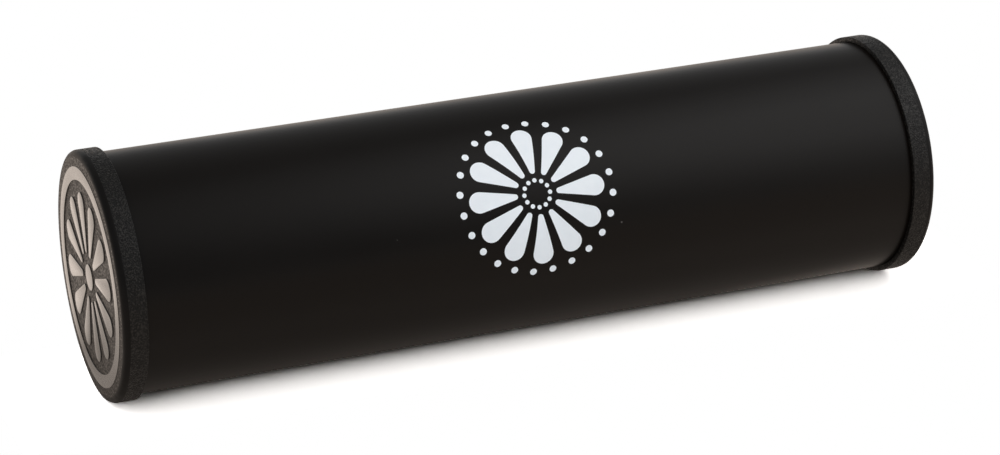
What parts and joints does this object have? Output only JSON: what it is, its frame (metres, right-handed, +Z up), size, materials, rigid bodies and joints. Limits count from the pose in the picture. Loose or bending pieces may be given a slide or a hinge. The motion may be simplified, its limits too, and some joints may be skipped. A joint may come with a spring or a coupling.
{
  "type": "ganza shaker",
  "caption": "Handheld metal tube shaker, part filled with loose steel shot and closed by two moulded push-on end caps with a raised ray motif.",
  "frame": {"origin": "middle of the tube's axis, halfway between the two end faces", "axes": "+X along the tube towards the right cap, +Z up with the shaker lying on its side, the shot lying towards -Z"},
  "size_m": [0.2286, 0.0662, 0.0662],
  "materials": {
    "tube_coat": "satin black coat on aluminium",
    "cap_plastic": "fine-textured black moulding, with polished raised surfaces on the end face",
    "steel_shot": "polished steel"
  },
  "bodies": {
    "shell": {"tube": "tube_coat", "left_cap": "cap_plastic", "right_cap": "cap_plastic"},
    "charge": {"shot_keel": "steel_shot"},
    "low_1": {"shot_low_1": "steel_shot"},
    "low_2": {"shot_low_2": "steel_shot"},
    "low_3": {"shot_low_3": "steel_shot"},
    "low_4": {"shot_low_4": "steel_shot"},
    "low_5": {"shot_low_5": "steel_shot"},
    "low_6": {"shot_low_6": "steel_shot"},
    "low_7": {"shot_low_7": "steel_shot"},
    "low_8": {"shot_low_8": "steel_shot"},
    "mid_1": {"shot_mid_1": "steel_shot"},
    "mid_2": {"shot_mid_2": "steel_shot"},
    "mid_3": {"shot_mid_3": "steel_shot"},
    "mid_4": {"shot_mid_4": "steel_shot"},
    "mid_5": {"shot_mid_5": "steel_shot"},
    "mid_6": {"shot_mid_6": "steel_shot"},
    "top_1": {"shot_top_1": "steel_shot"},
    "top_2": {"shot_top_2": "steel_shot"}
  },
  "joints": [
    {"name": "charge_roll", "type": "hinge", "parent": "shell", "child": "charge", "pos_m": [0, 0, 0], "axis": [1, 0, 0], "continuous": true},
    {"name": "low_1_slide", "type": "slide", "parent": "charge", "child": "low_1", "axis": [1, 0, 0], "range_m": [-0.048, 0.048]},
    {"name": "low_2_slide", "type": "slide", "parent": "charge", "child": "low_2", "axis": [1, 0, 0], "range_m": [-0.048, 0.048]},
    {"name": "low_3_slide", "type": "slide", "parent": "charge", "child": "low_3", "axis": [1, 0, 0], "range_m": [-0.048, 0.048]},
    {"name": "low_4_slide", "type": "slide", "parent": "charge", "child": "low_4", "axis": [1, 0, 0], "range_m": [-0.048, 0.048]},
    {"name": "low_5_slide", "type": "slide", "parent": "charge", "child": "low_5", "axis": [1, 0, 0], "range_m": [-0.048, 0.048]},
    {"name": "low_6_slide", "type": "slide", "parent": "charge", "child": "low_6", "axis": [1, 0, 0], "range_m": [-0.048, 0.048]},
    {"name": "low_7_slide", "type": "slide", "parent": "charge", "child": "low_7", "axis": [1, 0, 0], "range_m": [-0.048, 0.048]},
    {"name": "low_8_slide", "type": "slide", "parent": "charge", "child": "low_8", "axis": [1, 0, 0], "range_m": [-0.048, 0.048]},
    {"name": "mid_1_slide", "type": "slide", "parent": "charge", "child": "mid_1", "axis": [1, 0, 0], "range_m": [-0.056, 0.056]},
    {"name": "mid_2_slide", "type": "slide", "parent": "charge", "child": "mid_2", "axis": [1, 0, 0], "range_m": [-0.056, 0.056]},
    {"name": "mid_3_slide", "type": "slide", "parent": "charge", "child": "mid_3", "axis": [1, 0, 0], "range_m": [-0.056, 0.056]},
    {"name": "mid_4_slide", "type": "slide", "parent": "charge", "child": "mid_4", "axis": [1, 0, 0], "range_m": [-0.056, 0.056]},
    {"name": "mid_5_slide", "type": "slide", "parent": "charge", "child": "mid_5", "axis": [1, 0, 0], "range_m": [-0.056, 0.056]},
    {"name": "mid_6_slide", "type": "slide", "parent": "charge", "child": "mid_6", "axis": [1, 0, 0], "range_m": [-0.056, 0.056]},
    {"name": "top_1_slide", "type": "slide", "parent": "charge", "child": "top_1", "axis": [1, 0, 0], "range_m": [-0.056, 0.056]},
    {"name": "top_2_slide", "type": "slide", "parent": "charge", "child": "top_2", "axis": [1, 0, 0], "range_m": [-0.056, 0.056]}
  ]
}
